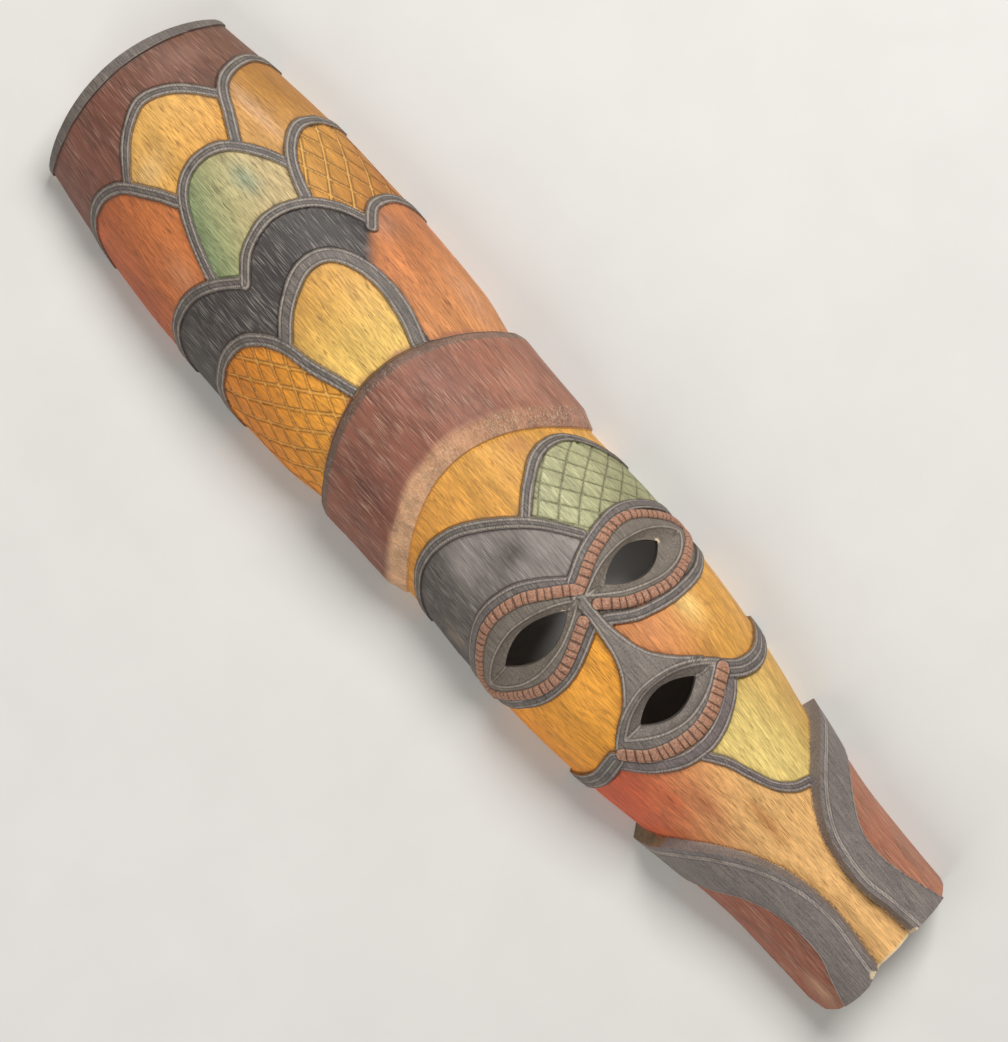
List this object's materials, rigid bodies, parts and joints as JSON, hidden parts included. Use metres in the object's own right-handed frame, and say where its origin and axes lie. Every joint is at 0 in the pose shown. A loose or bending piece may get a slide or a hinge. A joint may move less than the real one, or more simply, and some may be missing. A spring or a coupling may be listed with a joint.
{
  "type": "carved wooden face mask",
  "caption": "Long wooden face mask with a tall scale-patterned headdress, a raised band, slit eyes and mouth, and a flared collar, hollow at the back.",
  "frame": {"origin": "under the middle of the mask, on the plane that its back rim lies on", "axes": "+Y to the crown of the headdress, +Z out of the face, +X to the right as seen from the front"},
  "size_m": [0.1178, 0.5028, 0.0613],
  "materials": {
    "stained_wood": "open-grained wood stained in ochre, orange, green, red-brown and black fields, with engraved lines, satin wax"
  },
  "bodies": {
    "root": {"carved_mask": "stained_wood"}
  },
  "joints": []
}
